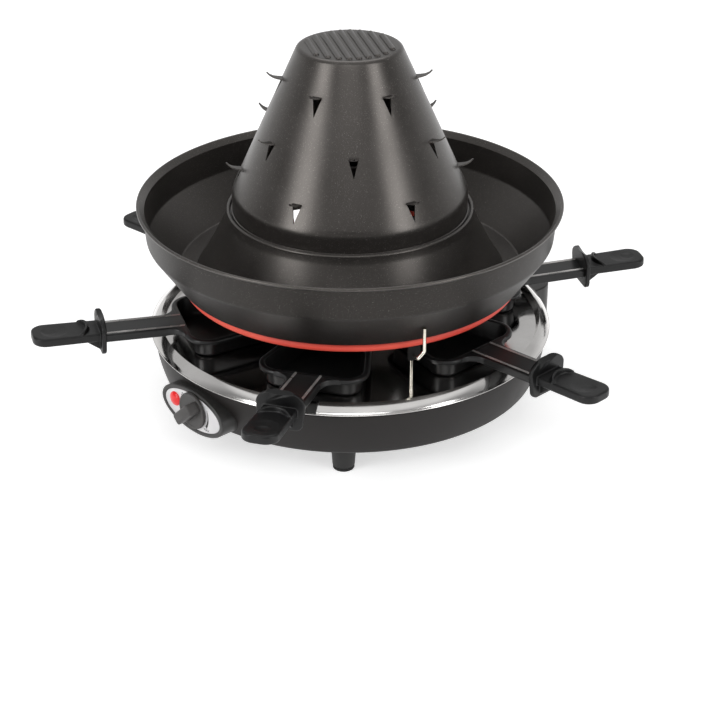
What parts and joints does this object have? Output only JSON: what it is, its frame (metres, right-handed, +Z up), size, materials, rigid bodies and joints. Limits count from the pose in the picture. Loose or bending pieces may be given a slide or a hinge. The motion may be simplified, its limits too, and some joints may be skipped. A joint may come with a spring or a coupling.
{
  "type": "raclette grill",
  "caption": "Round electric raclette grill: polished tray on a black footed base, ring heater, wedge pans with handles, and a lift-off broth bowl that carries a cone-shaped hooked grill hat.",
  "frame": {"origin": "on the table, under the middle of the round base", "axes": "+Z up, -Y towards the control panel, +X to the right when looking at the panel"},
  "size_m": [0.4645, 0.4332, 0.2773],
  "materials": {
    "shell_black": "satin black stove enamel",
    "plate_black": "satin black",
    "foot_black": "fine matte black",
    "pad_rubber": "soft black rubber",
    "zinc_steel": "zinc plated",
    "tray_steel": "polished stainless steel",
    "element_red": "heater tube glowing dull red",
    "ceramic": "glazed ceramic bush",
    "bright_wire": "bright drawn wire",
    "housing_black": "semi gloss black",
    "fascia_silver": "satin silver",
    "lamp_red": "clear red lens",
    "inner_plastic": "pale insulating plastic",
    "thermostat_metal": "plain pressed steel",
    "lead_sleeve": "glass fibre sleeving",
    "knob_black": "matte black",
    "shaft_steel": "turned steel",
    "pan_black": "smooth black non-stick enamel",
    "handle_black": "fine grained black",
    "bowl_coating": "dark grey speckled non-stick coating",
    "hat_coating": "dark grey speckled non-stick coating"
  },
  "bodies": {
    "base": {"body_shell": "shell_black", "bottom_plate": "plate_black", "foot_pads": "pad_rubber", "tie_screws": "zinc_steel", "spacer_sleeves": "zinc_steel", "tray_nuts": "zinc_steel", "steel_tray": "tray_steel", "heating_element": "element_red", "element_bushings": "ceramic", "element_pins": "zinc_steel", "element_clips": "zinc_steel", "support_nuts": "zinc_steel", "control_housing": "housing_black", "fascia_plate": "fascia_silver", "lamp_lens": "lamp_red", "lamp_body": "inner_plastic", "thermostat": "thermostat_metal", "thermostat_screws": "zinc_steel", "rear_housing": "housing_black", "rear_screws": "zinc_steel", "cord_gland": "pad_rubber", "terminal_block": "inner_plastic", "inner_wires": "lead_sleeve", "foot_1": "foot_black", "foot_2": "foot_black", "foot_3": "foot_black", "foot_4": "foot_black", "wire_support_1": "bright_wire", "wire_support_2": "bright_wire", "wire_support_3": "bright_wire"},
    "temperature_knob": {"knob": "knob_black", "knob_shaft": "shaft_steel"},
    "bowl": {"broth_bowl": "bowl_coating"},
    "hat": {"grill_hat": "hat_coating"},
    "raclette_pan_1": {"pan_1": "pan_black", "pan_handle_1": "handle_black", "pan_screw_1": "zinc_steel"},
    "raclette_pan_2": {"pan_2": "pan_black", "pan_handle_2": "handle_black", "pan_screw_2": "zinc_steel"},
    "raclette_pan_3": {"pan_3": "pan_black", "pan_handle_3": "handle_black", "pan_screw_3": "zinc_steel"},
    "raclette_pan_4": {"pan_4": "pan_black", "pan_handle_4": "handle_black", "pan_screw_4": "zinc_steel"},
    "raclette_pan_5": {"pan_5": "pan_black", "pan_handle_5": "handle_black", "pan_screw_5": "zinc_steel"},
    "raclette_pan_6": {"pan_6": "pan_black", "pan_handle_6": "handle_black", "pan_screw_6": "zinc_steel"}
  },
  "joints": [
    {"name": "knob_turn", "type": "hinge", "parent": "base", "child": "temperature_knob", "pos_m": [0.0024, -0.1534, 0.0418], "axis": [0, 1, 0], "range_deg": [0, 240]},
    {"name": "pan_1_out", "type": "slide", "parent": "base", "child": "raclette_pan_1", "axis": [0.9364, 0.0245, 0.3502], "range_m": [0, 0.05]},
    {"name": "pan_2_out", "type": "slide", "parent": "base", "child": "raclette_pan_2", "axis": [0.457, 0.8176, 0.3502], "range_m": [0, 0.05]},
    {"name": "pan_3_out", "type": "slide", "parent": "base", "child": "raclette_pan_3", "axis": [-0.5238, 0.7765, 0.3502], "range_m": [0, 0.05]},
    {"name": "pan_4_out", "type": "slide", "parent": "base", "child": "raclette_pan_4", "axis": [-0.9276, -0.1304, 0.3502], "range_m": [0, 0.05]},
    {"name": "pan_5_out", "type": "slide", "parent": "base", "child": "raclette_pan_5", "axis": [-0.4003, -0.8468, 0.3502], "range_m": [0, 0.05]},
    {"name": "pan_6_out", "type": "slide", "parent": "base", "child": "raclette_pan_6", "axis": [0.4838, -0.802, 0.3502], "range_m": [0, 0.05]},
    {"name": "bowl_lift", "type": "slide", "parent": "base", "child": "bowl", "axis": [0, 0, 1], "range_m": [0, 0.06]},
    {"name": "hat_lift", "type": "slide", "parent": "bowl", "child": "hat", "axis": [0, 0, 1], "range_m": [0, 0.06]}
  ]
}
